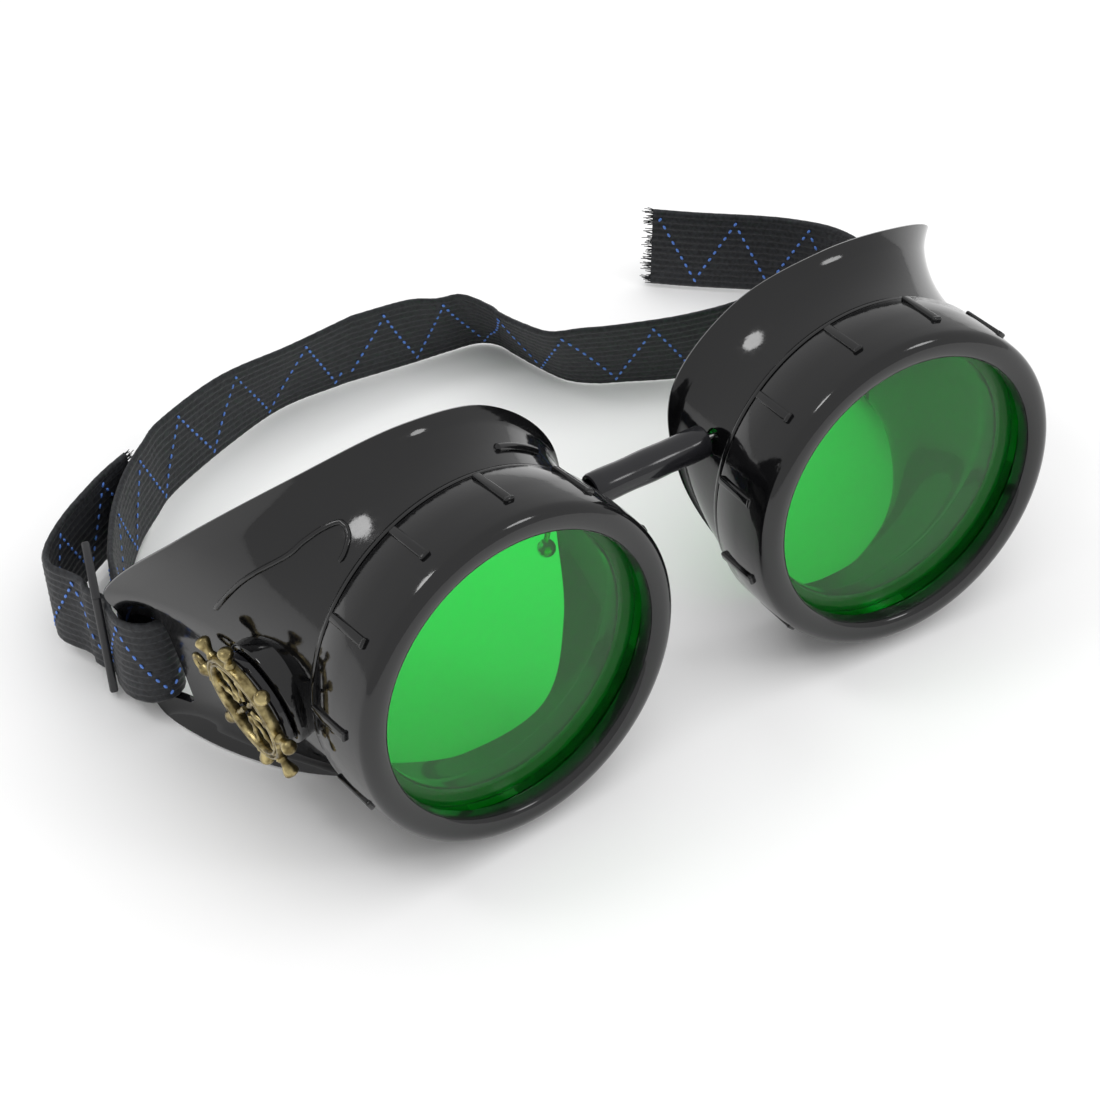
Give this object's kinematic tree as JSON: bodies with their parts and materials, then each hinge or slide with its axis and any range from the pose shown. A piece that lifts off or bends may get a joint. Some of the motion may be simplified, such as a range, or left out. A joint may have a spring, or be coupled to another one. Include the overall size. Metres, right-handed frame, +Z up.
{
  "type": "welding goggles",
  "caption": "Round-lens cup welding goggles in gloss black plastic with screw-on lens rings, green lenses, a sleeved chain bridge, a ship's wheel charm and a ribbed elastic strap.",
  "frame": {"origin": "centre of the bounding box in plan, on the surface the goggles stand on", "axes": "+Z up; the lenses face -Y and the strap lies behind at +Y; +X is towards the cup without the charm"},
  "size_m": [0.1676, 0.1136, 0.0593],
  "materials": {
    "gloss_black_plastic": "polished moulded plastic",
    "clear_lens": "clear polished",
    "green_lens": "polished, deep green",
    "grey_fibre": "matt fibre",
    "black_sleeve": "smooth vinyl",
    "nickel_chain": "nickel plated",
    "black_webbing": "ribbed woven elastic with pale blue dotted zigzag threads",
    "slider_plastic": "satin",
    "button_black": "polished",
    "antique_brass": "cast, satin antique"
  },
  "bodies": {
    "bridge": {"bridge_sleeve": "black_sleeve", "chain_link_wire": "nickel_chain", "chain_ball_1": "nickel_chain", "chain_ball_2": "nickel_chain", "chain_ball_3": "nickel_chain", "chain_ball_4": "nickel_chain", "chain_ball_5": "nickel_chain", "chain_ball_6": "nickel_chain", "chain_ball_7": "nickel_chain", "elastic_strap": "black_webbing"},
    "left_cup": {"left_eye_cup": "gloss_black_plastic", "charm_button": "button_black", "ships_wheel_charm": "antique_brass"},
    "left_lenses": {"left_cover_lens": "clear_lens", "left_green_lens": "green_lens", "left_lens_gasket": "grey_fibre"},
    "left_ring": {"left_retaining_ring": "gloss_black_plastic"},
    "left_slide": {"left_strap_slide": "slider_plastic"},
    "right_cup": {"right_eye_cup": "gloss_black_plastic"},
    "right_lenses": {"right_cover_lens": "clear_lens", "right_green_lens": "green_lens", "right_lens_gasket": "grey_fibre"},
    "right_ring": {"right_retaining_ring": "gloss_black_plastic"},
    "right_slide": {"right_strap_slide": "slider_plastic"}
  },
  "joints": [
    {"name": "left_cup_swing", "type": "hinge", "parent": "bridge", "child": "left_cup", "pos_m": [-0.0153, -0.03144, 0.03908], "axis": [0, 0, -1], "range_deg": [-12, 20], "deforming": ["elastic_strap"]},
    {"name": "left_ring_travel", "type": "slide", "parent": "left_cup", "child": "left_lenses", "axis": [0.0657, -0.9888, 0.134], "range_m": [0, 0.004]},
    {"name": "left_ring_turn", "type": "hinge", "parent": "left_lenses", "child": "left_ring", "pos_m": [-0.0386, -0.05194, 0.03058], "axis": [0.0657, -0.9888, 0.134], "range_deg": [0, 720]},
    {"name": "left_slide_shift", "type": "slide", "parent": "left_cup", "child": "left_slide", "axis": [0.3, 0.9539, 0], "range_m": [0, 0.008], "deforming": ["elastic_strap"]},
    {"name": "right_cup_swing", "type": "hinge", "parent": "bridge", "child": "right_cup", "pos_m": [0.0113, -0.03144, 0.03908], "axis": [0, 0, 1], "range_deg": [-12, 20], "deforming": ["elastic_strap"]},
    {"name": "right_ring_travel", "type": "slide", "parent": "right_cup", "child": "right_lenses", "axis": [-0.0657, -0.9888, 0.134], "range_m": [0, 0.004]},
    {"name": "right_ring_turn", "type": "hinge", "parent": "right_lenses", "child": "right_ring", "pos_m": [0.0346, -0.05194, 0.03058], "axis": [-0.0657, -0.9888, 0.134], "range_deg": [0, 720]},
    {"name": "right_slide_shift", "type": "slide", "parent": "right_cup", "child": "right_slide", "axis": [0.12, 0.9928, 0], "range_m": [0, 0.008], "deforming": ["elastic_strap"]}
  ],
  "couplings": [
    {"joint": "left_ring_travel", "follows": "left_ring_turn", "m_per_rad": 0.000318},
    {"joint": "right_ring_travel", "follows": "right_ring_turn", "m_per_rad": 0.000318}
  ]
}
